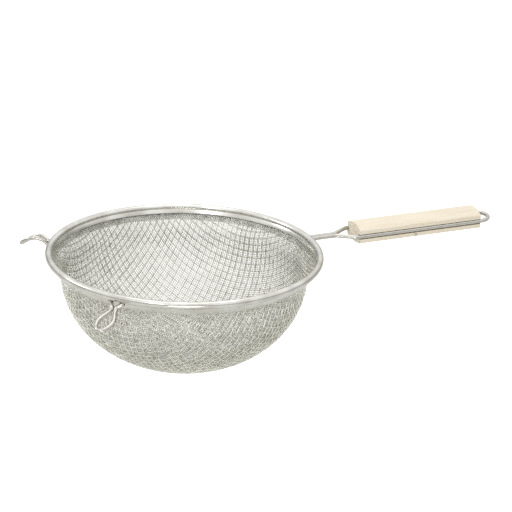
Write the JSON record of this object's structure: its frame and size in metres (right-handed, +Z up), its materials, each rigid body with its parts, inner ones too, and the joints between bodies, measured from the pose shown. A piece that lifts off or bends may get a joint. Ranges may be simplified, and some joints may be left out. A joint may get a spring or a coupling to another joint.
{
  "type": "double sieve strainer",
  "caption": "Round-bottomed bowl strainer of fine and coarse woven wire in a rolled rim, with bent wire hooks to rest on a bucket and a wooden-gripped wire handle with a hanging loop.",
  "frame": {"origin": "centre of the rim, level with the middle of its bead, on the bowl's axis", "axes": "+Z up out of the bowl's mouth, +X along the handle towards its hanging loop, +Y across"},
  "size_m": [0.4485, 0.26, 0.1183],
  "materials": {
    "rim_steel": "rolled sheet steel, satin, slightly dull",
    "mesh_steel": "woven steel wire, satin",
    "bright_wire": "bright plated wire",
    "grip_wood": "plain unvarnished pale hardwood, sanded"
  },
  "bodies": {
    "root": {"rim_band": "rim_steel", "rim_hoop": "rim_steel", "coarse_mesh": "mesh_steel", "fine_mesh": "mesh_steel", "pot_hook_left": "bright_wire", "pot_hook_right": "bright_wire", "handle_wire": "bright_wire", "grip": "grip_wood", "brad_left": "bright_wire", "brad_right": "bright_wire"}
  },
  "joints": []
}
